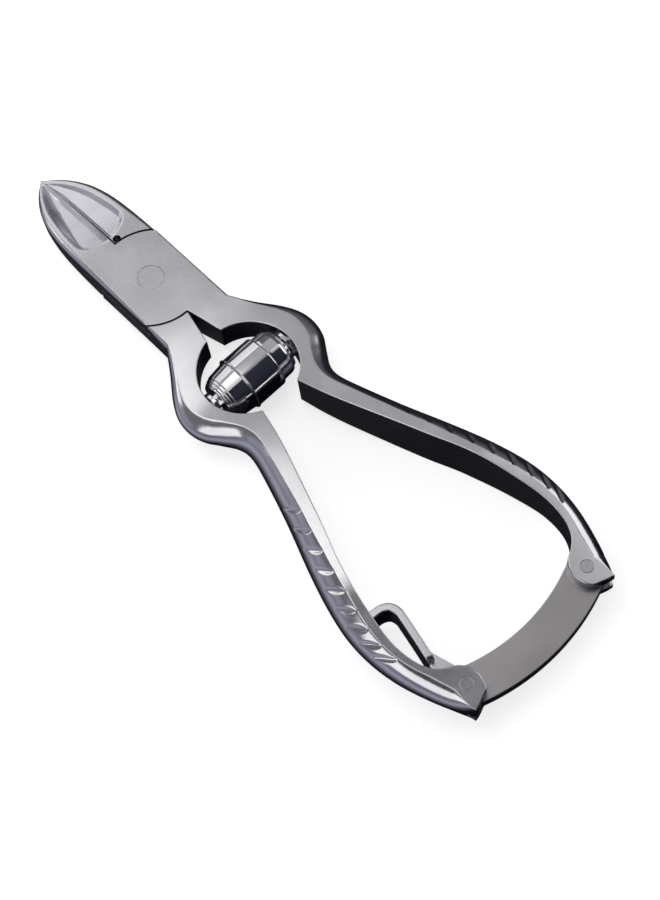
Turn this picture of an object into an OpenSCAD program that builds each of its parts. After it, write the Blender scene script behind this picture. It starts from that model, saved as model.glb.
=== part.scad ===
// Barrel-spring nail clipper: two lapped halves, telescoping barrel spring,
// lock bar and catch lever. Lengths in mm, Z up, clipper lying flat and closed.
// Sub-parts are drawn about the pivot axis at mid thickness; place() moves
// them so that the origin is the bottom centre of the whole clipper.

/* [View] */
// sub-part to draw, or all

/* [Overall] */
// pivot axis to the closed tip
tip_x = 34; // [25:0.5:45]
// pivot axis to the outer edge of the lock bar
tail_x = 104.6; // [90:0.2:120]

/* [Jaws and lap] */
// half width of the lap where both halves cross
lap_half_w = 7.6; // [6:0.1:10]
// half thickness at the pivot
lap_half_t = 3.65; // [2.5:0.05:5]
// radius of the round lap
lap_r = 10.35; // [8:0.05:13]
// gap between the lap and the shoulders around it
shoulder_gap = 0.25; // [0.1:0.05:0.6]
// gap between the two lapped faces
lap_gap = 0.04; // [0.02:0.01:0.2]
// pivot rivet radius
rivet_r = 2.8; // [2:0.1:4]
// running clearance of the hinge pins, on the radius
run_gap = 0.04; // [0.02:0.01:0.1]
// jaw gap beside the lap, closing to nothing at the tip
jaw_gap = 0.3; // [0.1:0.1:2]
// radius of the hollow ground into each jaw
hollow_r = 7; // [5:0.25:12]

/* [Handles] */
// half thickness of the grip where it is fullest
grip_half_t = 5.75; // [4:0.05:7]
// half thickness at the handle ends
end_half_t = 3.15; // [2.5:0.05:4]
// spring opening, distance from the pivot
hole_x = 27.3; // [22:0.1:34]
// spring opening radius
hole_r = 9.65; // [8:0.05:12]
// half width of the V notch where it meets the spring opening
notch_half_w = 1.55; // [0.5:0.05:3]

/* [Lock bar and catch] */
// end pins, distance from the pivot
pin_x = 98.1; // [90:0.1:105]
// end pins, distance from the middle
pin_y = 14.85; // [12:0.05:18]
// end pin radius
pin_r = 1.2; // [0.8:0.05:2]
// lock bar thickness
bar_t = 2.5; // [1.5:0.1:4]
// lock bar width
bar_w = 7.2; // [5:0.1:10]
// radius of the lock bar's middle line
bar_r = 39.5; // [30:0.5:60]
// clearance above and below the lock bar in its slots
slot_gap = 0.1; // [0.05:0.05:0.3]
// catch strip thickness
strip_t = 1.5; // [0.8:0.1:2.5]
// catch strip height
strip_h = 6; // [3:0.5:7]

/* [Barrel spring] */
// cup hinge pins, distance from the middle
cup_pin_y = 6.7; // [5:0.1:8]
// cup hinge pin radius
cup_pin_r = 0.9; // [0.6:0.05:1.5]
// radius of the outer cup's rolled rim
rim_r = 5.7; // [5:0.05:7]
// outside radius of the sleeve
sleeve_r = 5.4; // [4.8:0.05:6.5]
// outside radius of the inner cup
inner_r = 4.9; // [4:0.05:6]
// wall of the cups and the sleeve
cup_wall = 0.35; // [0.2:0.05:0.8]
// mean coil radius
coil_r = 3.5; // [2.5:0.1:4.2]
// coil wire size
wire = 0.9; // [0.5:0.05:1.4]
// turns in the coil
turns = 5; // [3:0.5:10]

/* [Hidden] */
steel = [0.72, 0.72, 0.74];
satin = [0.5, 0.48, 0.49];
bright = [0.82, 0.82, 0.84];
dark = [0.35, 0.35, 0.37];
bar_cx = pin_x - sqrt(bar_r * bar_r - pin_y * pin_y);
slot_half = bar_t / 2 + slot_gap;
cheek_t = 0.5;
pocket_half = slot_half + cheek_t + slot_gap;
$fn = 64;

// a smooth curve through the points p, with n steps between neighbours
function blend(a, b, c, d, t) = 0.5 * (2 * b + (c - a) * t
    + (2 * a - 5 * b + 4 * c - d) * t * t + (3 * b - a - 3 * c + d) * t * t * t);
function pt(p, i) = i < 0 ? 2 * p[0] - p[1]
    : i >= len(p) ? 2 * p[len(p) - 1] - p[len(p) - 2] : p[i];
function curve(p, n) = concat(
    [for (i = [0:len(p) - 2], k = [0:n - 1])
        blend(pt(p, i - 1), p[i], p[i + 1], pt(p, i + 2), k / n)],
    [p[len(p) - 1]]);
function mirrored(p) = [for (i = [len(p) - 1:-1:0]) [p[i][0], -p[i][1]]];

// outer edge of a handle, from the corner behind the lap to its end
handle_outer = [[13, 8], [17, 10.8], [21.2, 13.9], [24.6, 15.6], [28, 16], [31.2, 15.2],
    [34, 13.4], [37, 11.6], [40, 11.3], [45, 12.6], [54, 15.6], [63.5, 19.2], [70.5, 21.5],
    [77, 23], [83, 23.3], [89, 22.5], [95, 20.7], [100, 18.6], [102.9, 16.9]];
// rounded end of a handle, then its inner edge back to the spring opening
handle_end = [[102.9, 16.9], [102.1, 14.9], [101, 12.9], [98.7, 12], [96.4, 12.3],
    [94.8, 13.5]];
handle_inner = [[94.8, 13.5], [93.8, 15.3], [92.4, 16.9], [90, 18.1], [86.8, 18.7],
    [83.3, 18.7], [78.5, 17.95], [73, 16.75], [67.3, 15.05], [61.8, 12.9], [55.5, 10.6],
    [46, 7.2], [41, 5.6], [36.1, 4.32]];
// outer edge of a jaw, from the lap to the tip
jaw_outer = [[-8, 7.6], [-12.5, 7.55], [-17, 7.4], [-21, 7], [-25.2, 6.1], [-28.7, 4.6],
    [-31.6, 2.6], [-tip_x, 0.02]];
// half thickness along the clipper
side = [[-tip_x, 0.55], [-31, 1.15], [-27, 1.95], [-22, 2.8], [-16, 3.4], [-10, lap_half_t],
    [0, lap_half_t], [12, lap_half_t - 0.05], [19, 3.1], [26, 3.05], [31, 3.4],
    [36.5, 4.1], [43, 4.75], [50, 5.25], [60, grip_half_t]];
side_rear = [[70, grip_half_t], [78, 4.95], [84, 4.3], [90, 3.75], [97, 3.35],
    [tail_x, end_half_t]];

module place() {
    translate([-(tail_x - tip_x) / 2, 0, grip_half_t])
        children();
}

// everything between the clipper's upper and lower faces
module body_depth() {
    top_line = concat(curve(side, 4), curve(side_rear, 4));
    rotate([90, 0, 0])
        linear_extrude(height = 60, center = true)
            polygon(concat(top_line, mirrored(top_line)));
}

module handle_plan() {
    difference() {
        polygon(concat([[0, 0], [0, lap_half_w]], curve(handle_outer, 5),
            curve(handle_end, 4), curve(handle_inner, 4), [[hole_x, 0]]));
        translate([hole_x, 0])
            circle(hole_r);
        polygon([[lap_r - 0.2, -0.1], [lap_r - 0.2, 0.05], [hole_x - hole_r + 1, notch_half_w + 0.15],
            [hole_x, 0], [hole_x, -0.1]]);
    }
}

module jaw_plan() {
    difference() {
        polygon(concat([[0, 0], [0, lap_half_w]], curve(jaw_outer, 5)));
        polygon([[0, -0.1], [0, jaw_gap / 2 + 0.4], [-lap_r, jaw_gap / 2], [-tip_x, 0.01],
            [-tip_x, -0.1]]);
        translate([-lap_r - 1.1, 1.2])
            circle(0.85);
    }
}

module lap_plan() {
    intersection() {
        circle(lap_r);
        square([3 * lap_r, 2 * lap_half_w], center = true);
    }
}

// the hollow ground into the upper side of a -Y jaw
module jaw_hollow() {
    translate([-13.5, -1.6, 7.3])
        rotate([0, 85, -175.5]) {
            cylinder(h = 24, r1 = hollow_r - 0.9, r2 = hollow_r - 1.4);
            sphere(hollow_r - 0.9);
        }
}

// a half with its lap on top, its handle on +Y and its jaw on -Y
module half_body() {
    difference() {
        intersection() {
            union() {
                linear_extrude(height = 14, center = true)
                    handle_plan();
                linear_extrude(height = 14, center = true)
                    mirror([0, 1])
                        jaw_plan();
                linear_extrude(height = 14, center = true)
                    lap_plan();
            }
            body_depth();
        }
        // room for the other half's lap
        translate([0, 0, lap_gap / 2 - 20])
            cylinder(h = 20, r = lap_r + shoulder_gap);
    }
}

// bore for a barrel stud, from the spring opening into the handle
module stud_bore() {
    translate([hole_x, hole_r - 2, 0])
        rotate([-90, 0, 0])
            cylinder(h = 5.2, r = 1.5);
}

// slot across a handle's end for the lock bar
module end_slot(half) {
    translate([0, 0, -half])
        linear_extrude(height = 2 * half) {
            translate([pin_x, pin_y])
                circle(bar_w / 2 + 0.35);
            polygon([[pin_x - 3.9, 10], [pin_x - 3.9, pin_y], [pin_x, pin_y + 4.6],
                [pin_x + 1.4, pin_y + 7], [pin_x + 9, pin_y + 7], [pin_x + 9, 10]]);
        }
}

module end_bore(r) {
    translate([pin_x, pin_y, -6])
        cylinder(h = 12, r = r);
}

module top_half() {
    color(steel)
        place()
            difference() {
                half_body();
                jaw_hollow();
                stud_bore();
                end_slot(slot_half);
                end_bore(pin_r);
                translate([0, 0, -6])
                    cylinder(h = 12, r = rivet_r + run_gap);
            }
}

module bottom_half() {
    color(steel)
        place()
            difference() {
                rotate([180, 0, 0])
                    half_body();
                mirror([0, 1, 0]) {
                    jaw_hollow();
                    stud_bore();
                    end_slot(slot_half);
                    end_bore(pin_r);
                    catch_pocket();
                }
                translate([0, 0, -6])
                    cylinder(h = 12, r = rivet_r);
            }
}

// room for the catch lever inside a +Y handle: its cheeks and its front leg
module catch_pocket() {
    translate([0, 0, -pocket_half])
        linear_extrude(height = 2 * pocket_half) {
            translate([pin_x, pin_y])
                circle(2.9);
            polygon([[pin_x - 8.5, 14], [pin_x - 8.5, 18.9], [pin_x, pin_y + 2.9],
                [pin_x, pin_y - 2.2], [pin_x - 4, 11]]);
        }
    translate([76.2, 12, -strip_h / 2 - 0.2])
        cube([4, 9.2, strip_h + 0.4]);
}

module pivot_rivet() {
    color(satin)
        place()
            cylinder(h = 2 * lap_half_t, r = rivet_r, center = true);
}

// band between two radii, from pin to pin
module lock_bar() {
    color(satin)
        place()
            translate([0, 0, -bar_t / 2])
                linear_extrude(height = bar_t)
                    difference() {
                        union() {
                            intersection() {
                                difference() {
                                    translate([bar_cx, 0])
                                        circle(bar_r + bar_w / 2, $fn = 200);
                                    translate([bar_cx, 0])
                                        circle(bar_r - bar_w / 2, $fn = 200);
                                }
                                translate([90, -pin_y - 1.6])
                                    square([20, 2 * pin_y + 1.6]);
                            }
                            translate([pin_x, pin_y])
                                circle(bar_w / 2);
                        }
                        translate([pin_x, pin_y])
                            circle(pin_r + run_gap);
                        // open notch that rests around the catch pin
                        translate([pin_x, -pin_y])
                            circle(pin_r + 0.25);
                        translate([pin_x - 9, -pin_y - 5])
                            square([9 + pin_r + 0.25, 5]);
                        translate([pin_x - 9, -pin_y - 5])
                            square([9, 5 + pin_r + 0.25]);
                    }
}

module end_pin(side_sign) {
    color(satin)
        place()
            translate([pin_x, side_sign * pin_y, 0])
                cylinder(h = 2 * end_half_t, r = pin_r, center = true);
}

module lock_bar_rivet() {
    end_pin(1);
}

module catch_pin() {
    end_pin(-1);
}

// plan of the bent strip beside the -Y handle, up to x = end
module strip_plan(end) {
    path = [[77.9, -18.6], [78, -17], [78.3, -15.4], [79.2, -14.2], [80.6, -13.8],
        [82, -14], [87, -15.1], [90.4, -15.9], [94.2, -16.5]];
    line = curve(path, 4);
    last = len(line) - 1;
    normals = [for (i = [0:last])
        let (d = line[min(i + 1, last)] - line[max(i - 1, 0)])
        [-d[1], d[0]] / norm(d) * strip_t / 2];
    intersection() {
        polygon(concat([for (i = [0:last]) line[i] + normals[i]],
            [for (i = [last:-1:0]) line[i] - normals[i]]));
        translate([0, -30])
            square([end, 30]);
    }
}

// the strip narrows to a tongue in the handle; its cheeks turn on the catch pin
module catch_lever() {
    tongue = 2 * slot_half + 1;
    color(satin)
        place()
            difference() {
                union() {
                    translate([0, 0, -strip_h / 2])
                        linear_extrude(height = strip_h)
                            strip_plan(91);
                    translate([0, 0, -tongue / 2])
                        linear_extrude(height = tongue)
                            strip_plan(100);
                    for (z = [slot_half, -slot_half - cheek_t + slot_gap])
                        translate([0, 0, z])
                            linear_extrude(height = cheek_t - slot_gap) {
                                translate([pin_x, -pin_y])
                                    circle(2.3);
                                polygon([[89.2, -14.9], [89.2, -16.3], [pin_x, -pin_y - 2.2],
                                    [pin_x, -pin_y + 2.2]]);
                            }
                }
                translate([pin_x, -pin_y, -6])
                    cylinder(h = 12, r = pin_r + run_gap);
            }
}

// turns a profile of [radius, distance along the barrel] about the barrel axis
module barrel_turn(profile) {
    translate([hole_x, 0, 0])
        rotate([-90, 0, 0])
            rotate_extrude($fn = 96)
                polygon(profile);
}

// stud riveted into a +Y handle, with a flat tongue for the cup's hinge pin
module stud() {
    difference() {
        union() {
            barrel_turn([[0, 7.9], [0, hole_r + 2.6], [1.5, hole_r + 2.6], [1.5, 9.3],
                [2.8, 9.3], [2.8, 8.6], [1.5, 8.6], [1.2, 7.9]]);
            translate([hole_x, 0, -1.2])
                linear_extrude(height = 2.4) {
                    translate([0, cup_pin_y])
                        circle(1.7);
                    translate([-1.2, cup_pin_y])
                        square([2.4, 2]);
                }
        }
        translate([hole_x, cup_pin_y, -6])
            cylinder(h = 12, r = cup_pin_r);
    }
}

module hinge_pin() {
    translate([hole_x, cup_pin_y, 0])
        cylinder(h = 6.6, r = cup_pin_r, center = true);
}

// room for the stud's tongue and its pin in the closed end of a +Y cup
module tongue_room() {
    translate([hole_x - 2.1, cup_pin_y - 2, -1.35])
        cube([4.2, 4, 2.7]);
    translate([hole_x, cup_pin_y, -6])
        cylinder(h = 12, r = cup_pin_r + run_gap);
}

module outer_cup() {
    color(bright)
        place()
            mirror([0, 1, 0])
                difference() {
                    barrel_turn([[0, 5], [4.75 - cup_wall, 5], [5.35 - cup_wall, 2.4],
                        [5.35, 2.4], [rim_r, 2.5], [rim_r, 2.9], [5.32, 3], [4.75, 5.4],
                        [4.4, 7.4], [3.9, 7.9], [0, 7.9]]);
                    tongue_room();
                }
}

module sleeve() {
    color(steel)
        place()
            barrel_turn([[sleeve_r - cup_wall, -2.4], [sleeve_r, -2.4], [sleeve_r, 4.1],
                [sleeve_r - cup_wall, 4.1]]);
}

module inner_cup() {
    color(bright)
        place()
            difference() {
                barrel_turn([[4.3, -4], [4.5, -4], [inner_r, -2.6], [inner_r, 4.6],
                    [4.5, 7.4], [4, 7.9], [0, 7.9], [0, 5], [4.4, 5], [inner_r - cup_wall, 4],
                    [inner_r - cup_wall, -2.4]]);
                tongue_room();
            }
}

// coil of square wire between the closed ends of the cups
module spring() {
    pitch = (10 - wire) / turns;
    span = 360 * wire / pitch;
    color(dark)
        place()
            translate([hole_x, -4.9, 0])
                rotate([-90, 0, 0])
                    linear_extrude(height = 9.8, twist = -360 * turns, slices = 14 * turns, $fn = 14)
                        polygon(concat(
                            [for (k = [0:6]) (coil_r + wire / 2)
                                * [cos(span * k / 6), sin(span * k / 6)]],
                            [for (k = [6:-1:0]) (coil_r - wire / 2)
                                * [cos(span * k / 6), sin(span * k / 6)]]));
}

module outer_stud() {
    color(steel)
        place()
            mirror([0, 1, 0])
                stud();
}

module inner_stud() {
    color(steel)
        place()
            stud();
}

module outer_hinge_pin() {
    color(satin)
        place()
            mirror([0, 1, 0])
                hinge_pin();
}

module inner_hinge_pin() {
    color(satin)
        place()
            hinge_pin();
}

top_half();
bottom_half();
pivot_rivet();
lock_bar();
lock_bar_rivet();
catch_lever();
catch_pin();
outer_stud();
outer_hinge_pin();
outer_cup();
sleeve();
inner_stud();
inner_hinge_pin();
inner_cup();
spring();
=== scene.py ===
import math
import bmesh
import bpy
import numpy as np
from mathutils import Matrix, Vector
from mathutils.geometry import delaunay_2d_cdt


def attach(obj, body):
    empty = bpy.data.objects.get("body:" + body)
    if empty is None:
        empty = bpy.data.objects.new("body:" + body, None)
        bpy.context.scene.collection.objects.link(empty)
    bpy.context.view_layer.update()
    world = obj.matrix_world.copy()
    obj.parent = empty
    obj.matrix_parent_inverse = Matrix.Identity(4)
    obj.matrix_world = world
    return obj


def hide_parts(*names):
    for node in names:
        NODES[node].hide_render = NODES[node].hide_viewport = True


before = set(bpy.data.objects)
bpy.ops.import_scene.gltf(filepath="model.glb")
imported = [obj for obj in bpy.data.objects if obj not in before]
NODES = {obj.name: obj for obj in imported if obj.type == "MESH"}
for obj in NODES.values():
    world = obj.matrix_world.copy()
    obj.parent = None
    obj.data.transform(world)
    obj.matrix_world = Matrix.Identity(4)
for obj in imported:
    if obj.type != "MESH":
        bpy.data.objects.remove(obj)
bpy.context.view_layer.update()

# Shapes are worked out in millimetres about the pivot axis, at mid thickness.
# metres() puts them in the row frame.
SHIFT = np.array([-35.3, 0.0, 5.75])

TIP_X = 34.0
LAP_W = 7.6
LAP_R = 10.35
HOLE_X = 27.3
HOLE_R = 9.65
PIN_X = 98.1
PIN_Y = 14.85
BAR_R = 39.5
BAR_W = 7.2
BAR_T = 2.5
SLOT_HALF = 1.35
RIVET_R = 2.55
PIN_R = 1.2
PIN_HALF = 3.22
BAR_CX = PIN_X - math.sqrt(BAR_R ** 2 - PIN_Y ** 2)


def metres(p):
    return (np.asarray(p, float) + SHIFT) / 1000


# ---------------------------------------------------------------- curves
def smooth(points, n=24):
    """A smooth curve through the points, with n steps between neighbours."""
    p = np.array(points, float)
    q = np.vstack([2 * p[0] - p[1], p, 2 * p[-1] - p[-2]])
    out = []
    for i in range(len(p) - 1):
        a, b, c, d = q[i:i + 4]
        t = np.arange(n)[:, None] / n
        out.append(0.5 * (2 * b + (c - a) * t + (2 * a - 5 * b + 4 * c - d) * t ** 2
                          + (3 * b - a - 3 * c + d) * t ** 3))
    return np.vstack(out + [p[-1:]])


def spaced(points, step):
    """The same line with even spacing, both ends kept."""
    p = np.array(points, float)
    s = np.r_[0, np.cumsum(np.linalg.norm(np.diff(p, axis=0), axis=1))]
    n = max(1, int(math.ceil(s[-1] / step)))
    t = np.linspace(0, s[-1], n + 1)
    return np.stack([np.interp(t, s, p[:, k]) for k in range(p.shape[1])], 1)


def arc(cx, cy, r, a0, a1, step=0.4):
    n = max(4, int(abs(math.radians(a1 - a0)) * r / step))
    a = np.radians(np.linspace(a0, a1, n + 1))
    return np.stack([cx + r * np.cos(a), cy + r * np.sin(a)], 1)


def flip(points):
    return np.array(points, float) * [1, -1]


handle_outer = [[13, 8], [17, 10.8], [21.2, 13.9], [24.6, 15.6], [28, 16], [31.2, 15.2],
                [34, 13.4], [37, 11.6], [40, 11.3], [45, 12.6], [54, 15.6], [63.5, 19.2],
                [70.5, 21.5], [77, 23], [83, 23.3], [89, 22.5], [95, 20.7], [100, 18.6],
                [102.6, 17.05]]
handle_end = [[102.6, 17.05], [102.35, 15.9], [101.9, 14.7], [101, 12.9], [98.7, 12], [96.4, 12.3],
              [94.8, 13.5]]
handle_inner = [[94.8, 13.5], [93.8, 15.3], [92.4, 16.9], [90, 18.1], [86.8, 18.7],
                [83.3, 18.7], [78.5, 17.95], [73, 16.75], [67.3, 15.05], [61.8, 12.9],
                [55.5, 10.6], [46, 7.2], [41, 5.6], [36.1, 4.32]]
jaw_outer = [[-8, 7.6], [-12.5, 7.55], [-17, 7.4], [-21, 7], [-25.2, 6.1], [-28.7, 4.6],
             [-31.6, 2.6], [-TIP_X, 0.02]]
side_line = smooth([[-34, 0.55], [-31, 1.15], [-27, 1.95], [-22, 2.8], [-16, 3.4],
                    [-10, 3.65], [0, 3.65], [12, 3.6], [19, 3.1], [26, 3.05], [31, 3.4],
                    [36.5, 4.1], [43, 4.75], [50, 5.25], [60, 5.75], [70, 5.75],
                    [78, 4.95], [84, 4.3], [90, 3.75], [97, 3.35], [104.6, 3.15]], 12)


def half_depth(x):
    return np.minimum(np.interp(x, side_line[:, 0], side_line[:, 1]), 5.75)


# width of the rounded outer side of a grip, and how far it is rounded down
ROUND_W = np.array([[7, 0.3], [13, 0.7], [17, 1.3], [21, 1.9], [24.6, 2.5], [28, 3.0],
                    [31, 3.2], [34, 3.1], [38, 2.7], [43, 2.5], [50, 2.7], [58, 3.1],
                    [62.5, 3.5], [67, 3.7], [71, 3.8], [75, 3.7], [80, 3.3],
                    [83, 3.0], [86, 2.8], [89, 2.75], [91.5, 2.8], [94, 2.9],
                    [97, 2.75], [100, 2.3],
                    [102.6, 1.5]])
JAW_W = np.array([[-34, 0.1], [-31, 0.5], [-27, 0.8], [-22, 0.95], [-16, 1.0], [-10, 0.8],
                  [-2, 0.55], [7, 0.3]])

# ---------------------------------------------------------------- the hollow of a jaw
RIM = smooth([[-33.2, 0.25], [-31.9, 1.35], [-30, 2.6], [-26.1, 4.3], [-21, 5.35],
              [-16.6, 5.8], [-14.7, 5.55], [-13.4, 4.5], [-12.7, 3.1], [-12.2, 1.6],
              [-12.0, 0.3]], 8)
LIP = 0.32
BEVEL_Y = 0.95
HOLLOW_DEPTH = [[-33.5, -30, -26, -20, -13], [0.1, 0.55, 1.0, 1.35, 1.45]]
HOLLOW_WALL = {True: [[-33, -29, -25, -20, -16, -13.5], [0.3, 0.7, 0.9, 0.95, 0.9, 0.8]],
               False: [[-33, -29, -25, -20, -16, -13.5], [0.4, 1.5, 2.2, 1.8, 1.0, 0.8]]}


def to_line(p, line):
    """Distance from points to a polyline."""
    a, b = line[:-1], line[1:]
    ab = b - a
    best = np.full(len(p), 1e9)
    for i in range(len(a)):
        t = np.clip(((p - a[i]) @ ab[i]) / (ab[i] @ ab[i]), 0, 1)
        best = np.minimum(best, np.linalg.norm(p - a[i] - t[:, None] * ab[i], axis=1))
    return best


def inside(p, poly):
    x, y = p[:, 0], p[:, 1]
    hit = np.zeros(len(p), bool)
    n = len(poly)
    for i in range(n):
        (x0, y0), (x1, y1) = poly[i], poly[(i + 1) % n]
        if y0 == y1:
            continue
        cross = (y0 > y) != (y1 > y)
        hit ^= cross & (x < (x1 - x0) * (y - y0) / (y1 - y0) + x0)
    return hit


def lip_line():
    """Where the rounded lip of a hollow ends, inside its rim."""
    p = spaced(RIM, 0.2)
    t = np.gradient(p, axis=0)
    p = p + LIP * np.stack([t[:, 1], -t[:, 0]], 1) / np.linalg.norm(t, axis=1)[:, None]
    return p[(p[:, 1] > 0.3) & (p[:, 0] > -32.4)]


def hollow_drop(p, lower):
    """How far the ground hollow lies below a jaw's face, at points of a +Y jaw."""
    area = np.vstack([RIM, [[-11.9, -1.0], [-33.0, -1.0]]])
    drop = np.zeros(len(p))
    near = (p[:, 0] < -11) & (p[:, 1] > -0.9)
    idx = np.where(near)[0]
    idx = idx[inside(p[idx], area)]
    if not len(idx):
        return drop
    q = p[idx]
    deep = np.interp(q[:, 0], *HOLLOW_DEPTH)
    reach = np.interp(q[:, 0], *HOLLOW_WALL[lower])
    wall = 1 - (1 - np.clip((to_line(q, RIM) - LIP) / reach, 0, 1)) ** 1.7
    crease = np.interp(q[:, 0], [-32.5, -28], [0.25, BEVEL_Y])
    inner = 0.1 + 0.9 * np.clip((q[:, 1] - 0.08) / (crease - 0.08), 0, 1)
    inner *= 1 - 0.12 * np.clip((q[:, 1] - crease) / 4, 0, 1)
    wall = np.minimum(wall, inner)
    lip = to_line(q, RIM) / LIP
    drop[idx] = np.where(lip < 1, 0.085 * lip, 0.085 + (deep - 0.085) * wall)
    return drop


# ---------------------------------------------------------------- grip grooves
GROOVES = [55.0, 59.0, 63.1, 67.3, 71.5, 75.7, 79.8, 83.8, 87.7]
GROOVE_DEPTH = 0.33
GROOVE_HALF = 0.72
GROOVE_REACH = 4.1


def groove_depth(verts, place):
    """Depth of the scooped grooves, thin leaves that cross the rounded side slantwise."""
    x, q, w = place.T
    lean = -0.636 * verts[:, 0] - 0.650 * verts[:, 1] + 0.416 * np.abs(verts[:, 2])
    side = (verts[:, 0] > 45) & (w > 1.5) & (q > -0.001)
    edge = side & (np.abs(q) < 1e-6) & (verts[:, 2] > 0)
    order = np.argsort(x[edge])
    t0 = math.radians(25)
    sin_t = np.sqrt(np.clip(1 - (math.cos(t0) * (1 - q / half_depth(x))) ** 2, 0, 1))
    across_side = w * (sin_t - math.sin(t0)) / (1 - math.sin(t0))
    along = np.hypot(across_side, q)
    out = np.zeros(len(x))
    for k, start in enumerate(GROOVES):
        size = 1.0 if k else 0.85
        reach = GROOVE_REACH * np.interp(start, [55, 75, 88], [0.95, 1.0, 0.8])
        middle = np.interp(start, x[edge][order], lean[edge][order])
        tau = np.clip((along - 0.12) / reach, 0, 1)
        half = GROOVE_HALF * size * np.clip(np.sin(np.pi * tau ** 0.8), 0, 1) ** 0.8 + 1e-6
        r = np.abs(lean - middle) / half
        live = side & (tau > 0) & (tau < 1) & (r < 1)
        scoop = GROOVE_DEPTH * size * np.clip(1 - r ** 2, 0, 1) ** 1.2 * half / GROOVE_HALF
        out = np.where(live, np.maximum(out, scoop), out)
    return out


# ---------------------------------------------------------------- meshes
def new_object(name, verts, faces):
    me = bpy.data.meshes.new(name)
    me.from_pydata([tuple(v) for v in metres(verts)], [], faces)
    me.validate()
    me.update()
    ob = bpy.data.objects.new(name, me)
    bpy.context.scene.collection.objects.link(ob)
    return ob


def fix_normals(ob):
    bm = bmesh.new()
    bm.from_mesh(ob.data)
    bmesh.ops.remove_doubles(bm, verts=bm.verts, dist=1e-8)
    bmesh.ops.recalc_face_normals(bm, faces=bm.faces)
    bm.to_mesh(ob.data)
    bm.free()


def shade(ob, angle=32):
    ob.data.shade_smooth()
    ob.data.set_sharp_from_angle(angle=math.radians(angle))
    return ob


def between_rings(name, lo, hi):
    """A closed prism between two rings of points."""
    n = len(lo)
    faces = [[i, (i + 1) % n, n + (i + 1) % n, n + i] for i in range(n)]
    faces += [list(range(n))[::-1], list(range(n, 2 * n))]
    ob = new_object(name, np.vstack([lo, hi]), faces)
    fix_normals(ob)
    return ob


def cylinder_mesh(name, cx, cy, z0, z1, r, n=128, axis="z"):
    a = np.linspace(0, 2 * math.pi, n, endpoint=False)
    if axis == "z":
        ring = np.stack([cx + r * np.cos(a), cy + r * np.sin(a)], 1)
        lo = np.c_[ring, np.full(n, z0)]
        hi = np.c_[ring, np.full(n, z1)]
    else:
        lo = np.stack([cx + r * np.cos(a), np.full(n, z0), cy + r * np.sin(a)], 1)
        hi = np.stack([cx + r * np.cos(a), np.full(n, z1), cy + r * np.sin(a)], 1)
    return between_rings(name, lo, hi)


def prism_mesh(name, outline, z0, z1):
    p = np.array(outline, float)
    return between_rings(name, np.c_[p, np.full(len(p), z0)], np.c_[p, np.full(len(p), z1)])


def carve(ob, cutters, operation="DIFFERENCE"):
    for c in cutters:
        m = ob.modifiers.new("b", "BOOLEAN")
        m.object = c
        m.operation = operation
        m.solver = "MANIFOLD"
    bpy.context.view_layer.update()
    dg = bpy.context.evaluated_depsgraph_get()
    me = bpy.data.meshes.new_from_object(ob.evaluated_get(dg))
    ob.modifiers.clear()
    old = ob.data
    ob.data = me
    bpy.data.meshes.remove(old)
    for c in cutters:
        bpy.data.objects.remove(c)
    return ob


def weld(verts, faces):
    """Joins vertices that coincide and drops faces that this closes up.

    Returns which vertices are kept, and the faces numbered after them.
    """
    key = np.round(verts * 1e5).astype(np.int64)
    _, first, back = np.unique(key, axis=0, return_index=True, return_inverse=True)
    back = back.ravel()
    out = []
    for f in faces:
        g = [int(back[k]) for k in f]
        g = [k for k, after in zip(g, g[1:] + g[:1]) if k != after]
        if len(g) >= 3 and len(set(g)) == len(g):
            out.append(g)
    used = np.unique(np.concatenate([np.array(f) for f in out]))
    number = -np.ones(len(first), int)
    number[used] = np.arange(len(used))
    return first[used], [[int(number[k]) for k in f] for f in out]


def outline_normals(p):
    e = np.roll(p, -1, 0) - p
    e /= np.maximum(np.linalg.norm(e, axis=1), 1e-9)[:, None]
    left = np.stack([-e[:, 1], e[:, 0]], 1)
    n = left + np.roll(left, 1, 0)
    length = np.linalg.norm(n, axis=1)
    n /= np.maximum(length, 1e-9)[:, None]
    scale = 1 / np.maximum((n * left).sum(1), 0.72)
    return n * scale[:, None]


def ease_corners(outline, width, extra):
    """Narrows the rounding beside sharp outward corners, so that its rings never cross."""
    e = np.roll(outline, -1, 0) - outline
    before = np.roll(e, 1, 0)
    cross = before[:, 0] * e[:, 1] - before[:, 1] * e[:, 0]
    turn = np.degrees(np.arctan2(cross, (before * e).sum(1)))
    share = np.ones(len(outline))
    for k in np.where(turn > 35)[0]:
        away = np.linalg.norm(outline - outline[k], axis=1)
        share = np.minimum(share, (0.04 + 0.62 * away) / (width + 2 * extra))
    return width * share, extra * share


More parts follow.
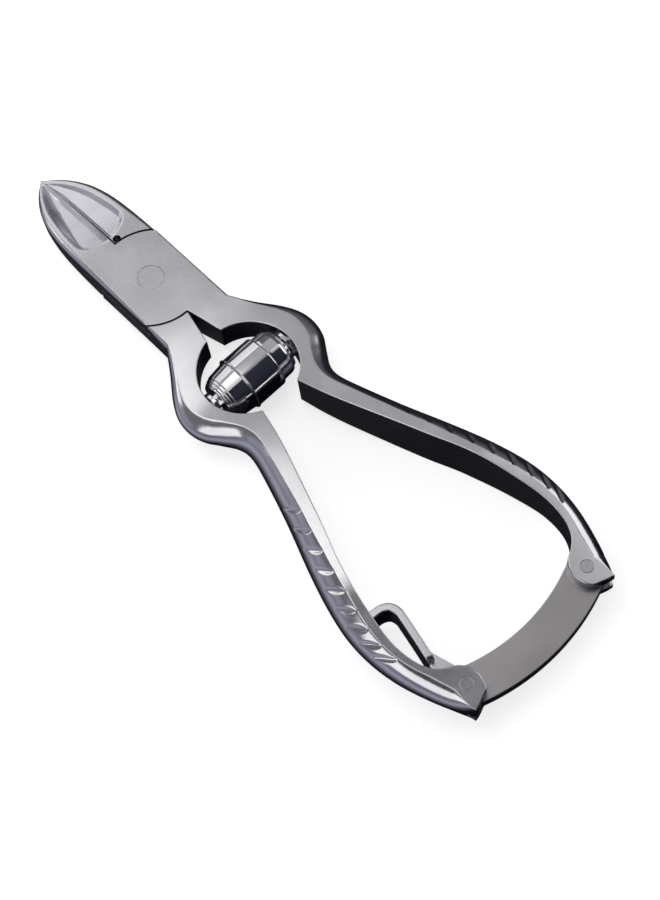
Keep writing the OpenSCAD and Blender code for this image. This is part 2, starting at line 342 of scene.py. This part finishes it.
def slab(outline, top, bottom, width, depth, theta0, extra, rings=18, inner_step=0.9,
         fine=None, top_drop=None, lines=()):
    """A closed solid between top(x) and bottom(x) whose outline is rounded off.

    width, depth and theta0 give the rounding at each outline point, which runs
    anticlockwise. extra is the spacing of two more rings on the faces.
    Returns vertices, faces and each vertex's place: x, depth down the side.
    """
    n = len(outline)
    nrm = outline_normals(outline)
    full_width = width
    width, extra = ease_corners(outline, width, extra)
    theta = np.linspace(0, 1, rings)
    rows = []
    for f in (2, 1):
        off = (width + f * extra)[:, None]
        pos = outline + nrm * off
        rows.append((pos, np.zeros(n), -f * extra))
    for t in theta:
        th = theta0 + (math.pi / 2 - theta0) * t
        share = 1 - (np.sin(th) - np.sin(theta0)) / (1 - np.sin(theta0))
        pos = outline + nrm * (width * share)[:, None]
        down = depth * (1 - np.cos(th) / np.cos(theta0))
        rows.append((pos, down, down))
    verts, place = [], []
    for sign, surf in ((1, top), (-1, bottom)):
        for pos, down, q in rows:
            z = surf(pos[:, 0]) - sign * down
            if sign > 0:
                z = np.maximum(z, 0) if surf(pos[:, 0]).min() >= 0 else z
            verts.append(np.c_[pos, z])
            place.append(np.c_[outline[:, 0], q, full_width])
    m = len(rows)
    order = list(range(m)) + [m + k for k in reversed(range(m))]
    faces = []
    idx = np.arange(n)
    nxt = np.roll(idx, -1)
    for a, b in zip(order[:-1], order[1:]):
        for i, j in zip(idx, nxt):
            faces.append([a * n + i, b * n + i, b * n + j, a * n + j])
    verts = np.vstack(verts)
    place = np.vstack(place)
    # caps
    ring = rows[0][0]
    for sign, surf in ((1, top), (-1, bottom)):
        drop = top_drop if sign > 0 else None
        if isinstance(top_drop, dict):
            drop = top_drop.get(sign)
        base = 0 if sign > 0 else m * n
        lo, hi = ring.min(0), ring.max(0)
        gx = np.arange(lo[0] + 0.37, hi[0], inner_step)
        gy = np.arange(lo[1] + 0.21, hi[1], inner_step)
        g = np.stack(np.meshgrid(gx, gy), -1).reshape(-1, 2)
        if fine is not None and drop is not None:
            (fx0, fy0, fx1, fy1), fs = fine
            g = g[~((g[:, 0] > fx0) & (g[:, 0] < fx1) & (g[:, 1] > fy0) & (g[:, 1] < fy1))]
            fg = np.stack(np.meshgrid(np.arange(fx0, fx1, fs), np.arange(fy0, fy1, fs)), -1)
            g = np.vstack([g, fg.reshape(-1, 2)])
        g = g[inside(g, ring)]
        border = np.vstack([ring, ring[:1]])
        g = g[to_line(g, border) > 0.12]
        used = list(lines) if drop is not None else []
        for l in used:
            g = g[to_line(g, l) > 0.09]
        pts = [ring]
        edges = []
        at = n
        for l in used:
            l = l[inside(l, ring)]
            l = l[to_line(l, border) > 0.05]
            pts.append(l)
            edges += [(at + k, at + k + 1) for k in range(len(l) - 1)]
            at += len(l)
        pts.append(g)
        pts = np.vstack(pts)
        v, _, f, ov, _, _ = delaunay_2d_cdt([Vector(p) for p in pts], edges,
                                             [list(range(n))], 1, 1e-7)
        v = np.array([tuple(q) for q in v])
        z = surf(v[:, 0])
        if drop is not None:
            z = z - sign * drop(v)
        start = len(verts)
        verts = np.vstack([verts, np.c_[v, z]])
        place = np.vstack([place, np.c_[v[:, 0], np.full((len(v), 2), -9.0)]])
        link = {}
        for k, src in enumerate(ov):
            r = [s for s in src if s < n]
            link[k] = base + r[0] if r else start + k
        for t in f:
            t = [link[k] for k in t]
            faces.append(t if sign > 0 else t[::-1])
        if len(v) > len(pts) + 2:
            print("cap has crossings:", len(v) - len(pts))
    kept, faces = weld(verts, faces)
    return verts[kept], faces, place[kept]


def half_outline():
    """Plan of a half with its grip on +Y and its jaw on -Y, and its rounding."""
    parts = []

    def add(points, w, d, th, ex):
        p = np.array(points, float)[:-1]
        x = p[:, 0]
        parts.append([p] + [np.broadcast_to(f(x) if callable(f) else f, x.shape).copy()
                            for f in (w, d, th, ex)])

    jaw = flip(smooth(jaw_outer))[::-1]
    jaw_y = lambda x: np.abs(np.interp(x, jaw[:, 0], jaw[:, 1]))
    gap = lambda x: np.interp(x, [-TIP_X, -LAP_R], [0.01, 0.15])
    room = lambda x: np.maximum(jaw_y(x) - gap(x), 0)
    sliver = lambda x: np.minimum(0.04, 0.02 * room(x))
    jw = lambda x: np.minimum(np.interp(x, JAW_W[:, 0], JAW_W[:, 1]), 0.3 * room(x))
    add(spaced(jaw, 0.35), jw, lambda x: np.minimum(1.35 * jw(x), half_depth(x) * 0.8),
        math.radians(14), lambda x: np.minimum(0.12, 0.05 * room(x)))
    a = math.degrees(math.asin(LAP_W / LAP_R))
    lap_x = LAP_R * math.cos(math.radians(a))
    add(spaced([[-8, -LAP_W], [lap_x, -LAP_W]], 0.5),
        lambda x: np.interp(x, JAW_W[:, 0], JAW_W[:, 1]),
        lambda x: 1.35 * np.interp(x, JAW_W[:, 0], JAW_W[:, 1]), math.radians(14), 0.12)
    add(arc(0, 0, LAP_R, -a, 0.3, 0.4), 0.1, 0.1, 0.0, 0.05)
    hole_a = math.degrees(math.atan2(1.7, 17.8 - HOLE_X))
    add(spaced([[LAP_R, 0.05], [17.8, 1.7]], 0.4), 0.14, 0.14, 0.0, 0.08)
    end_a = math.degrees(math.atan2(4.32, 36.1 - HOLE_X))
    add(arc(HOLE_X, 0, HOLE_R, hole_a, end_a, 0.3), 0.16, 0.16, 0.0, 0.1)
    add(spaced(smooth(handle_inner)[::-1], 0.4), 0.16, 0.16, 0.0, 0.1)
    add(spaced(smooth(handle_end)[::-1], 0.3), 0.26, 0.26, 0.0, 0.1)
    outer = smooth(handle_outer)[::-1]
    rw = lambda x: np.interp(x, ROUND_W[:, 0], ROUND_W[:, 1])
    full = lambda x: half_depth(x) * np.interp(x, [9, 15], [0.2, 1])
    th = lambda x: np.radians(np.interp(x, [9, 20, 45, 82, 90, 103], [14, 22, 25, 25, 12, 7]))
    add(spaced(outer, 0.2), rw, full, th,
        lambda x: np.interp(x, [9, 20, 100, 103], [0.1, 0.18, 0.18, 0.1]))
    add(spaced([[13, 8], [lap_x, LAP_W]], 0.4),
        lambda x: np.interp(x, [7, 13], [0.3, 0.7]),
        lambda x: half_depth(x) * np.interp(x, [7, 13], [0.12, 0.68]), math.radians(14), 0.1)
    add(spaced([[lap_x, LAP_W], [-lap_x, LAP_W]], 0.5), 0.3, 0.4, math.radians(10), 0.1)
    corner = math.degrees(math.asin(0.15 / LAP_R))
    add(arc(0, 0, LAP_R, 180 - a, 180 + corner, 0.4), 0.1, 0.1, 0.0, 0.05)
    add(spaced([[-LAP_R * math.cos(math.radians(corner)), -0.15], [-TIP_X, -0.01]], 0.35),
        sliver, sliver, 0.0, lambda x: np.minimum(0.05, 0.04 * room(x)))
    return [np.concatenate([p[k] for p in parts]) for k in range(5)]


def build_half(name, lower):
    p, w, d, th, ex = half_outline()
    drop = lambda v: hollow_drop(v * [1, -1], lower)
    bevel = spaced([[-32, -0.33], [-28, -BEVEL_Y], [-12.2, -BEVEL_Y]], 0.2)
    verts, faces, place = slab(
        p, half_depth, lambda x: -half_depth(x), w, d, th, ex,
        rings=26, fine=((-TIP_X, -7.2, -11.0, -0.03), 0.2), top_drop={-1 if lower else 1: drop},
        lines=[flip(spaced(RIM, 0.2)), flip(lip_line()), bevel])
    ob = new_object(name, verts, faces)
    bm = bmesh.new()
    bm.from_mesh(ob.data)
    bmesh.ops.recalc_face_normals(bm, faces=bm.faces)
    bm.verts.ensure_lookup_table()
    bm.normal_update()
    g = groove_depth(verts, place)
    for v, depth in zip(bm.verts, g):
        if depth > 0:
            v.co -= v.normal * depth / 1000
    bm.to_mesh(ob.data)
    bm.free()
    cuts = [
        # the other half's lap, the pivot, the relief hole, the stud and the end pin
        cylinder_mesh("c1", 0, 0, -20, 0.02, LAP_R + 0.36, 256),
        cylinder_mesh("c2", 0, 0, -9, 9, RIVET_R + 0.03, 96),
        cylinder_mesh("c3", -LAP_R - 0.8, -1.0, -9, 3.0, 0.8, 48),
        cylinder_mesh("c4", HOLE_X, 0, HOLE_R - 2, HOLE_R + 3.2, 1.5, 48, "y"),
        cylinder_mesh("c5", PIN_X, PIN_Y, -9, 9, PIN_R + 0.02, 96),
    ]
    # the slot of the lock bar or of the catch, wider where the bar swings out
    room = BAR_W / 2 + 0.35
    if lower:
        side = np.vstack([[[PIN_X + 3.2, PIN_Y + 7]], arc(PIN_X, PIN_Y, room, 36, 180, 0.4)])
    else:
        side = np.vstack([[[PIN_X + 1.4, PIN_Y + 7], [PIN_X, PIN_Y + 4.6]],
                          arc(PIN_X, PIN_Y, room, 90, 180, 0.4)])
    slot = np.vstack([[[PIN_X - room, 10], [PIN_X + 9, 10], [PIN_X + 9, PIN_Y + 7]], side])
    cuts.append(prism_mesh("c6", slot, -SLOT_HALF, SLOT_HALF))
    if lower:
        # room for the catch strip's inner end, and for its arms at the pin
        cuts.append(prism_mesh("c7", [[76.2, 12], [80.2, 12], [80.2, 21.2], [76.2, 21.2]],
                               -3.2, 3.2))
        arms = np.vstack([[[PIN_X - 8.5, 14], [PIN_X - 4, 11], [PIN_X, PIN_Y - 2.9]],
                          arc(PIN_X, PIN_Y, 2.9, -90, 90, 0.3), [[PIN_X - 8.5, 18.9]]])
        cuts.append(prism_mesh("c8", arms, -1.95, 1.95))
    carve(ob, cuts)
    if lower:
        # turned over about the handles' axis
        ob.data.transform(Matrix.Translation(Vector(SHIFT / 1000))
                          @ Matrix.Rotation(math.pi, 4, "X")
                          @ Matrix.Translation(Vector(-SHIFT / 1000)))
    shade(ob, 30)
    return ob


def rounded_profile(p, r=0.12, n=4):
    """A closed profile with its corners rounded."""
    p = np.array(p, float)
    out = []
    m = len(p)
    for i in range(m):
        a, b, c = p[i - 1], p[i], p[(i + 1) % m]
        la, lc = np.linalg.norm(a - b), np.linalg.norm(c - b)
        k = min(r, 0.4 * la, 0.4 * lc)
        if b[0] < 1e-6:
            out.append(b)
            continue
        s, e = b + (a - b) / la * k, b + (c - b) / lc * k
        if la > 4 * k:
            out.append(s + (a - b) / la * k * 0.8)
        for t in np.linspace(0, 1, n + 1):
            out.append((1 - t) ** 2 * s + 2 * t * (1 - t) * b + t ** 2 * e)
        if lc > 4 * k:
            out.append(e + (c - b) / lc * k * 0.8)
    return np.array(out)


def lathe(name, profile, axis="y", centre=(HOLE_X, 0, 0), flip_y=False, n=160, r=0.12):
    """Turns a closed profile of [radius, distance along the axis]."""
    p = rounded_profile(profile, r)
    m = len(p)
    verts, faces = [], []
    for t in np.linspace(0, 2 * math.pi, n, endpoint=False):
        for rad, h in p:
            if flip_y:
                h = -h
            across, along = rad * math.cos(t), rad * math.sin(t)
            offset = (across, h, along) if axis == "y" else (across, along, h)
            verts.append([c + o for c, o in zip(centre, offset)])
    for i in range(n):
        for k in range(m):
            a, b, j = i * m, (i + 1) % n * m, (k + 1) % m
            faces.append([a + k, a + j, b + j, b + k])
    verts = np.array(verts)
    kept, faces = weld(verts, faces)
    ob = new_object(name, verts[kept], faces)
    fix_normals(ob)
    return shade(ob, 38)


def plate(name, outline, half_t, fillet=0.15, rings=5, step=1.2):
    """A flat piece of even thickness with rounded edges; the outline runs anticlockwise."""
    p = np.array(outline, float)
    n = len(p)
    top = half_t if callable(half_t) else lambda x: np.full(len(x), half_t)
    v, f, _ = slab(p, top, lambda x: -top(x),
                   np.full(n, fillet), np.full(n, fillet), np.zeros(n), np.full(n, fillet * 0.5),
                   rings=rings, inner_step=step)
    ob = new_object(name, v, f)
    fix_normals(ob)
    return ob


def lock_bar():
    ro, ri = BAR_R + BAR_W / 2, BAR_R - BAR_W / 2
    ya = -PIN_Y - 1.6
    a_out = math.degrees(math.asin(ya / ro))
    b_out = math.degrees(math.asin((PIN_Y + 0.8) / ro))
    a_in = math.degrees(math.asin(ya / ri))
    b_in = math.degrees(math.asin((PIN_Y - 0.6) / ri))
    outer = arc(BAR_CX, 0, ro, a_out, b_out, 0.5)
    inner = arc(BAR_CX, 0, ri, b_in, a_in, 0.5)
    start = math.degrees(math.atan2(outer[-1][1] - PIN_Y, outer[-1][0] - PIN_X))
    stop = math.degrees(math.atan2(inner[0][1] - PIN_Y, inner[0][0] - PIN_X)) % 360
    cap = arc(PIN_X, PIN_Y, BAR_W / 2, max(start, 15) + 6, stop - 6, 0.35)
    outline = np.vstack([outer[:-1], cap, inner[1:]])
    ob = plate("lock_bar_plate", outline, BAR_T / 2, 0.14)
    notch = [[PIN_X - 9, -PIN_Y - 5], [PIN_X + 1.45, -PIN_Y - 5], [PIN_X + 1.45, -PIN_Y]]
    notch = np.vstack([notch, arc(PIN_X, -PIN_Y, 1.45, 0, 90, 0.15),
                       [[PIN_X - 9, -PIN_Y + 1.45]]])
    carve(ob, [cylinder_mesh("d1", PIN_X, PIN_Y, -4, 4, 1.26, 64), prism_mesh("d2", notch, -4, 4)])
    return shade(ob, 32)


def catch_lever():
    path = smooth([[77.9, -18.6], [78, -17], [78.3, -15.4], [79.2, -14.2], [80.6, -13.8],
                   [82, -14], [87, -15.1], [90.4, -15.9], [94.2, -16.5]], 20)
    path = spaced(path, 0.25)
    d = np.gradient(path, axis=0)
    nrm = np.stack([-d[:, 1], d[:, 0]], 1) / np.linalg.norm(d, axis=1)[:, None]
    left, right = path + nrm * 0.75, path - nrm * 0.75
    tall = lambda x: np.interp(x, [90.4, 91.1], [3.0, 1.8])
    strip = plate("catch_strip", np.vstack([right, left[::-1]]), tall, 0.24, 6, 0.6)
    arms = []
    for k, z in enumerate((1.35, -1.75)):
        arm = np.vstack([[[89.2, -14.9], [89.2, -16.3]],
                         [[PIN_X, -PIN_Y - 2.3]], arc(PIN_X, -PIN_Y, 2.3, -85, 85, 0.25),
                         [[PIN_X, -PIN_Y + 2.3]]])
        arms.append(prism_mesh("arm%d" % k, arm, z, z + 0.4))
    carve(strip, arms, "UNION")
    carve(strip, [cylinder_mesh("e1", PIN_X, -PIN_Y, -6, 6, 1.24, 64)])
    return shade(strip, 32)


def coil():
    turns, r, wire = 5, 3.5, 0.44
    n, m = turns * 48, 12
    verts, faces = [], []
    for i in range(n + 1):
        t = 2 * math.pi * turns * i / n
        y = -4.4 + 8.8 * i / n
        c = np.array([HOLE_X + r * math.cos(t), y, r * math.sin(t)])
        out = np.array([math.cos(t), 0, math.sin(t)])
        for k in range(m):
            a = 2 * math.pi * k / m
            verts.append(c + wire * (math.cos(a) * out + math.sin(a) * np.array([0, 1, 0])))
    for i in range(n):
        for k in range(m):
            a, b, j = i * m, (i + 1) * m, (k + 1) % m
            faces.append([a + k, a + j, b + j, b + k])
    faces += [list(range(m))[::-1], list(range(n * m, (n + 1) * m))]
    ob = new_object("coil_spring", np.array(verts), faces)
    fix_normals(ob)
    return shade(ob, 40)


# ---------------------------------------------------------------- finishes
def map_range(tree, source, start, end, low=0, high=1):
    """Carries the source from start..end over to low..high."""
    rng = tree.nodes.new("ShaderNodeMapRange")
    for key, value in zip(("From Min", "From Max", "To Min", "To Max"), (start, end, low, high)):
        rng.inputs[key].default_value = value
    tree.links.new(source, rng.inputs["Value"])
    return rng.outputs[0]


def total(tree, a, b):
    add = tree.nodes.new("ShaderNodeMath")
    add.operation = "ADD"
    tree.links.new(a, add.inputs[0])
    tree.links.new(b, add.inputs[1])
    return add.outputs[0]


def noise(tree, vector, scale, detail):
    tex = tree.nodes.new("ShaderNodeTexNoise")
    tex.inputs["Scale"].default_value = scale
    tex.inputs["Detail"].default_value = detail
    tree.links.new(vector, tex.inputs["Vector"])
    return tex.outputs["Fac"]


SMUDGE_SCALE = 130
GRAIN_HEIGHT = 0.000012


def steel(name, tint, rough, grain=(1, 1, 1), size=0.0006, bump=0.25, spread=0.06,
          smudge=0.08, edge=0.00012, satin_at=None):
    """Metal with a fine grain, faint smudges and softly rounded edges."""
    m = bpy.data.materials.new(name)
    m.use_nodes = True
    nt = m.node_tree
    nt.nodes.clear()
    N = nt.nodes.new
    L = nt.links.new
    out = N("ShaderNodeOutputMaterial")
    b = N("ShaderNodeBsdfPrincipled")
    L(b.outputs[0], out.inputs[0])
    b.inputs["Metallic"].default_value = 1.0
    co = N("ShaderNodeTexCoord")
    mp = N("ShaderNodeMapping")
    mp.inputs["Scale"].default_value = [g / size for g in grain]
    L(co.outputs["Object"], mp.inputs["Vector"])
    fine = noise(nt, mp.outputs[0], 1.0, 4)
    broad = noise(nt, co.outputs["Object"], SMUDGE_SCALE, 3)
    ramp = N("ShaderNodeValToRGB")
    ramp.color_ramp.elements[0].position = 0.3
    ramp.color_ramp.elements[1].position = 0.7
    ramp.color_ramp.elements[0].color = [c * (1 - smudge) for c in tint] + [1]
    ramp.color_ramp.elements[1].color = [min(1, c * (1 + smudge * 0.6)) for c in tint] + [1]
    L(broad, ramp.inputs["Fac"])
    L(ramp.outputs[0], b.inputs["Base Color"])
    roughness = map_range(nt, total(nt, fine, broad), 0.7, 1.3,
                          max(0.03, rough - spread), rough + spread)
    if satin_at:
        # rougher towards the jaws: extra roughness, then the x where it starts and ends
        extra, start, end = satin_at
        xyz = N("ShaderNodeSeparateXYZ")
        L(co.outputs["Object"], xyz.inputs[0])
        roughness = total(nt, roughness, map_range(nt, xyz.outputs[0], start, end, extra, 0))
    L(roughness, b.inputs["Roughness"])
    bev = N("ShaderNodeBevel")
    bev.samples = 4
    bev.inputs["Radius"].default_value = edge
    bmp = N("ShaderNodeBump")
    bmp.inputs["Strength"].default_value = bump
    bmp.inputs["Distance"].default_value = GRAIN_HEIGHT
    L(fine, bmp.inputs["Height"])
    L(bev.outputs[0], bmp.inputs["Normal"])
    L(bmp.outputs[0], b.inputs["Normal"])
    return m


M_FORGED = steel("forged_steel_polished", (0.64, 0.63, 0.645), 0.18, (0.16, 1, 1), 0.00035, 0.05,
                 0.025, satin_at=(0.09, -0.03, -0.012))
M_HOLLOW = steel("hollow_ground_steel", (0.74, 0.73, 0.77), 0.3, (1, 0.12, 0.12), 0.00028, 0.8,
                 0.06)
M_PLATE = steel("plate_steel_satin", (0.44, 0.42, 0.43), 0.33, (0.25, 1, 1), 0.0003, 0.35)
M_CHROME = steel("chromed_steel", (0.7, 0.7, 0.71), 0.08, (1, 0.15, 1), 0.0004, 0.12, 0.03)
M_SPRING = steel("spring_steel_dark", (0.3, 0.3, 0.31), 0.3, (1, 1, 1), 0.0003, 0.3)
M_RIVET = steel("rivet_steel", (0.53, 0.52, 0.54), 0.24, (1, 1, 1), 0.0003, 0.2)
M_PIN = steel("pin_steel", (0.56, 0.55, 0.56), 0.28, (1, 1, 1), 0.00025, 0.3)


def paint(ob, *mats):
    ob.data.materials.clear()
    for m in mats:
        ob.data.materials.append(m)


# ---------------------------------------------------------------- pieces
def dress(ob, body, nodes, slot, *mats):
    paint(ob, *mats)
    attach(ob, body)
    if nodes:
        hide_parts(*nodes)
    return ob


def finish_half(ob, lower):
    """Ground lap and face, cross-ground hollow, polished grip."""
    me = ob.data
    n = len(me.polygons)
    c = np.zeros(n * 3)
    me.polygons.foreach_get("center", c)
    c = c.reshape(-1, 3) * 1000 - SHIFT
    idx = np.zeros(n, np.int32)
    s = 1 if lower else -1
    drop = hollow_drop(np.c_[c[:, 0], s * c[:, 1]], lower)
    depth = half_depth(c[:, 0]) - c[:, 2]
    idx[(drop > 0.02) & (c[:, 2] > 0) & (np.abs(depth - drop) < 0.2)] = 1
    me.polygons.foreach_set("material_index", idx)


top = build_half("upper_half_forged", False)
dress(top, "top", ["top_half"], "forged_steel", M_FORGED, M_HOLLOW)
finish_half(top, False)
bottom = build_half("lower_half_forged", True)
dress(bottom, "bottom", ["bottom_half"], "forged_steel", M_FORGED, M_HOLLOW)
finish_half(bottom, True)



def pin_profile(r, half):
    return [[0, -half], [r, -half], [r, half], [0, half]]


rivet = lathe("pivot_rivet_flush", pin_profile(RIVET_R, 3.64), "z", (0, 0, 0), r=0.06)
dress(rivet, "bottom", ["pivot_rivet"], "plate_steel", M_FORGED)
for name, y, body, node in (("lock_bar_rivet_flush", PIN_Y, "top", "lock_bar_rivet"),
                            ("catch_pin_flush", -PIN_Y, "bottom", "catch_pin")):
    pin = lathe(name, pin_profile(PIN_R, PIN_HALF), "z", (PIN_X, y, 0), r=0.05, n=96)
    # both ends follow the grip's tapering face
    for v in pin.data.vertices:
        h = v.co.z * 1000 - SHIFT[2]
        if abs(h) > 3:
            face = float(half_depth(v.co.x * 1000 - SHIFT[0]))
            h = math.copysign(abs(h) - PIN_HALF + face - 0.01, h)
            v.co.z = (h + SHIFT[2]) / 1000
    dress(pin, body, [node], "plate_steel", M_RIVET if y > 0 else M_FORGED)

dress(lock_bar(), "lock", ["lock_bar"], "plate_steel", M_PLATE)
dress(catch_lever(), "catch", ["catch_lever"], "plate_steel", M_RIVET)

CUP = [[0, 5], [4.35, 5], [4.62, 4.6], [4.95, 2.45], [5.3, 2.35], [5.58, 2.38], [5.64, 2.5],
       [5.56, 2.66], [5.2, 2.76], [5.14, 3.1], [4.84, 5.4], [4.72, 6.35], [4.5, 6.42],
       [4.46, 6.95], [4.22, 7.02], [4.18, 7.45], [3.95, 7.5], [3.85, 7.9], [0, 7.9]]
INNER = [[0, 5], [4.2, 5], [4.5, 4], [4.55, -2.4], [4.3, -4], [4.55, -4], [4.9, -2.6],
         [4.9, 4.6], [4.8, 6.6], [4.6, 7.1], [4.25, 7.3], [4.1, 7.36], [4.0, 7.9], [0, 7.9]]
SLEEVE = [[5.05, -2.4], [5.4, -2.4], [5.4, 3.85], [5.3, 4.1], [5.05, 4.1]]
dress(lathe("outer_spring_cup", CUP, flip_y=True, r=0.1), "outer_barrel", ["outer_cup"],
      "cup_steel", M_CHROME)
dress(lathe("barrel_sleeve", SLEEVE, r=0.08), "outer_barrel", ["sleeve"], "cup_steel", M_CHROME)
dress(lathe("inner_spring_cup", INNER, r=0.1), "inner_barrel", ["inner_cup"], "cup_steel", M_CHROME)
dress(coil(), "outer_barrel", ["spring"], "spring_steel", M_SPRING)
for node, finish in (("outer_stud", M_CHROME), ("inner_stud", M_CHROME),
                     ("outer_hinge_pin", M_PIN), ("inner_hinge_pin", M_PIN)):
    paint(NODES[node], finish)
    shade(NODES[node], 32)


# ---------------------------------------------------------------- stage
FLOOR_GLOW = 0.72
FLOOR_HALF = 4.0


def floor():
    r = FLOOR_HALF
    me = bpy.data.meshes.new("floor")
    me.from_pydata([(-r, -r, 0), (r, -r, 0), (r, r, 0), (-r, r, 0)], [], [(0, 1, 2, 3)])
    ob = bpy.data.objects.new("floor", me)
    bpy.context.scene.collection.objects.link(ob)
    m = bpy.data.materials.new("floor_white")
    m.use_nodes = True
    b = m.node_tree.nodes["Principled BSDF"]
    b.inputs["Base Color"].default_value = (0.8, 0.8, 0.8, 1)
    b.inputs["Roughness"].default_value = 0.9
    b.inputs["Specular IOR Level"].default_value = 0.0
    b.inputs["Emission Color"].default_value = (1, 1, 1, 1)
    b.inputs["Emission Strength"].default_value = FLOOR_GLOW
    me.materials.append(m)
    ob.visible_glossy = False


def panel(name, x, y, z, sx, sy, radiance, aim=None, tint=(1, 1, 1)):
    """A soft light panel of the given size in millimetres, facing aim."""
    light = bpy.data.lights.new(name, "AREA")
    light.shape = "RECTANGLE"
    light.size, light.size_y = sx / 1000, sy / 1000
    light.energy = radiance * math.pi * light.size * light.size_y
    light.color = tint
    ob = bpy.data.objects.new(name, light)
    bpy.context.scene.collection.objects.link(ob)
    ob.location = (x / 1000, y / 1000, z / 1000)
    target = Vector(aim) / 1000 if aim is not None else Vector((x / 1000, y / 1000, 0))
    ob.rotation_euler = (target - ob.location).to_track_quat("-Z", "Y").to_euler()
    ob.visible_camera = False
    return ob


floor()

world = bpy.data.worlds.new("studio")
bpy.context.scene.world = world
world.use_nodes = True
wn = world.node_tree
wn.nodes.clear()


def ramp(source, stops):
    """A colour ramp over a direction component from -1 to 1."""
    cr = wn.nodes.new("ShaderNodeValToRGB")
    wn.links.new(map_range(wn, source, -1, 1), cr.inputs["Fac"])
    el = cr.color_ramp.elements
    el[0].position, el[0].color = (stops[0][0] + 1) / 2, (*stops[0][1], 1)
    el[1].position, el[1].color = (stops[-1][0] + 1) / 2, (*stops[-1][1], 1)
    for pos, c in stops[1:-1]:
        el.new((pos + 1) / 2).color = (*c, 1)
    return cr.outputs[0]


def mix(kind, a, b):
    m = wn.nodes.new("ShaderNodeMix")
    m.data_type = "RGBA"
    m.blend_type = kind
    m.inputs["Factor"].default_value = 1
    wn.links.new(a, m.inputs["A"])
    wn.links.new(b, m.inputs["B"])
    return m.outputs["Result"]


def grey(v):
    return (v, v, v)


wo = wn.nodes.new("ShaderNodeOutputWorld")
bg = wn.nodes.new("ShaderNodeBackground")
tc = wn.nodes.new("ShaderNodeTexCoord")
sp = wn.nodes.new("ShaderNodeSeparateXYZ")
wn.links.new(tc.outputs["Generated"], sp.inputs[0])
rise = ramp(sp.outputs["Z"], [(-1, (0.012, 0.012, 0.014)), (-0.1, (0.02, 0.02, 0.026)),
                              (0.1, (0.1, 0.1, 0.12)), (0.6, (0.17, 0.17, 0.18)),
                              (1, (0.17, 0.17, 0.18))])
dim = ramp(sp.outputs["X"], [(-1, grey(1)), (-0.1, grey(1)), (0.12, (0.2, 0.21, 0.28)),
                             (1, (0.15, 0.16, 0.22))])
band = ramp(sp.outputs["Z"], [(-1, grey(0)), (-0.8, grey(0.01)), (-0.6, (0.13, 0.13, 0.18)),
                              (-0.3, (0.46, 0.46, 0.55)), (0.0, (0.2, 0.2, 0.27)),
                              (0.3, (0.02, 0.02, 0.04)), (1, grey(0))])
near = ramp(sp.outputs["Y"], [(-1, grey(1)), (-0.55, grey(1)), (-0.3, grey(0)), (1, grey(0))])
sky = mix("ADD", mix("MULTIPLY", rise, dim), mix("MULTIPLY", band, near))
wn.links.new(sky, bg.inputs["Color"])
wn.links.new(bg.outputs[0], wo.inputs["Surface"])

panel("fill_panel", -168, 150, 270, 255, 420, 0.31)
panel("fill_panel_near", -2, 210, 270, 77, 304, 0.31)
panel("key_panel", -71.5, -19, 250, 153, 146, 1.15)
panel("rim_panel", -215, -78, 250, 84, 60, 1.8)
panel("groove_panel", -270, -140, 112, 130, 110, 1.3, (20, -10, 5), (1.0, 0.96, 0.94))
panel("cup_panel", 22, -30, 250, 74, 70, 0.8)
panel("rear_panel", 30, 150, 262, 70, 110, 0.5)
panel("side_panel", 60, -270, 175, 210, 210, 1.25, (40, 0, 0))
panel("left_panel", -210, -220, 95, 280, 120, 0.2, (10, 0, 0), (0.84, 0.87, 1.0))
panel("back_panel", 110, 300, 170, 260, 210, 1.3, (40, 0, 0))
panel("front_panel", -330, 40, 190, 150, 220, 0.9, (-40, 0, 0), (0.96, 0.96, 1.0))
panel("strip_panel", 400, 100, 26, 240, 18, 2.2, (30, 0, 5))

# ---------------------------------------------------------------- camera
CAMERA_AT = Vector((0.127786, -0.078309, 0.302264))
CAMERA_BACK = Vector((0.34862, -0.23889, 0.90631))
CAMERA_UP = Vector((-0.63572, 0.65027, 0.41594))

cam_data = bpy.data.cameras.new("camera")
cam_data.lens = 72
cam_data.sensor_width = 36
cam_data.clip_start = 0.01
camera = bpy.data.objects.new("camera", cam_data)
bpy.context.scene.collection.objects.link(camera)
back = CAMERA_BACK.normalized()
up = CAMERA_UP.normalized()
right = up.cross(back).normalized()
up = back.cross(right)
basis = Matrix((right, up, back)).transposed().to_4x4()
basis.translation = CAMERA_AT
camera.matrix_world = basis
bpy.context.scene.camera = camera
bpy.context.scene.view_settings.view_transform = "Standard"
